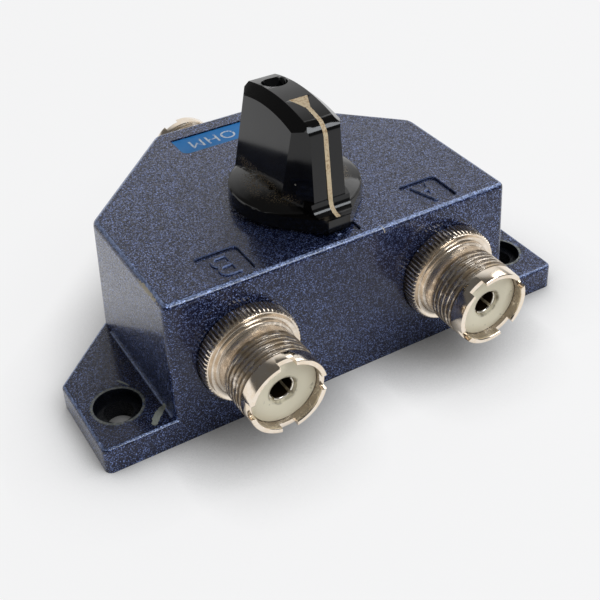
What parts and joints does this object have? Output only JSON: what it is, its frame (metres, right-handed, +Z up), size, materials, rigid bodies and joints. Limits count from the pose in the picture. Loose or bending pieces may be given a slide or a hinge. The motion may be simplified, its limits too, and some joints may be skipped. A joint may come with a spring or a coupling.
{
  "type": "coaxial antenna switch",
  "caption": "Die-cast coaxial switch: six-sided box with mounting ears, threaded coaxial sockets at front and back, and a pointer knob on top that turns a rotor blade.",
  "frame": {"origin": "midway between the two mounting holes, on the plane that the box stands on", "axes": "+X along the front towards socket A, +Y from the front sockets to the common socket, +Z up through the knob"},
  "size_m": [0.098, 0.0822, 0.0483],
  "materials": {
    "painted_housing": "glossy dark blue-violet flake paint on die-cast zinc or aluminium",
    "cover_plate": "plain steel sheet",
    "small_steel": "bright zinc-plated steel",
    "label": "printed blue film",
    "nickel_shell": "dull nickel plate, slightly warm",
    "insulator": "cream moulded insulator",
    "silvered_contact": "silver-plated brass",
    "brass": "plain brass",
    "rotor_insulator": "moulded insulator",
    "knob_black": "glossy black moulding",
    "pointer_cream": "cream paint fill"
  },
  "bodies": {
    "box": {"housing": "painted_housing", "base_cover": "cover_plate", "cover_screws": "small_steel", "label_plate": "label", "socket_shell_a": "nickel_shell", "socket_shell_b": "nickel_shell", "socket_shell_common": "nickel_shell", "socket_insulator_a": "insulator", "socket_insulator_b": "insulator", "socket_insulator_common": "insulator", "socket_contact_a": "silvered_contact", "socket_contact_b": "silvered_contact", "socket_contact_common": "silvered_contact", "contact_jaw_a": "brass", "contact_jaw_b": "brass", "common_bar": "brass", "ground_jaw": "brass", "ground_screw": "small_steel", "shaft_bush": "brass", "bush_washer": "small_steel", "bush_nut": "brass", "detent_plate": "small_steel", "stop_pin": "small_steel"},
    "rotor": {"rotor_shaft": "small_steel", "shaft_clip": "small_steel", "rotor_disc": "rotor_insulator", "rotor_cross_pin": "small_steel", "rotor_blade": "silvered_contact", "blade_screws": "brass", "detent_balls": "small_steel", "detent_springs": "small_steel", "knob": "knob_black", "pointer_line": "pointer_cream", "knob_set_screw": "small_steel"}
  },
  "joints": [
    {"name": "knob_turn", "type": "hinge", "parent": "box", "child": "rotor", "pos_m": [0, 0.0102, 0.0282], "axis": [0, 0, 1], "range_deg": [-60, 60]}
  ]
}
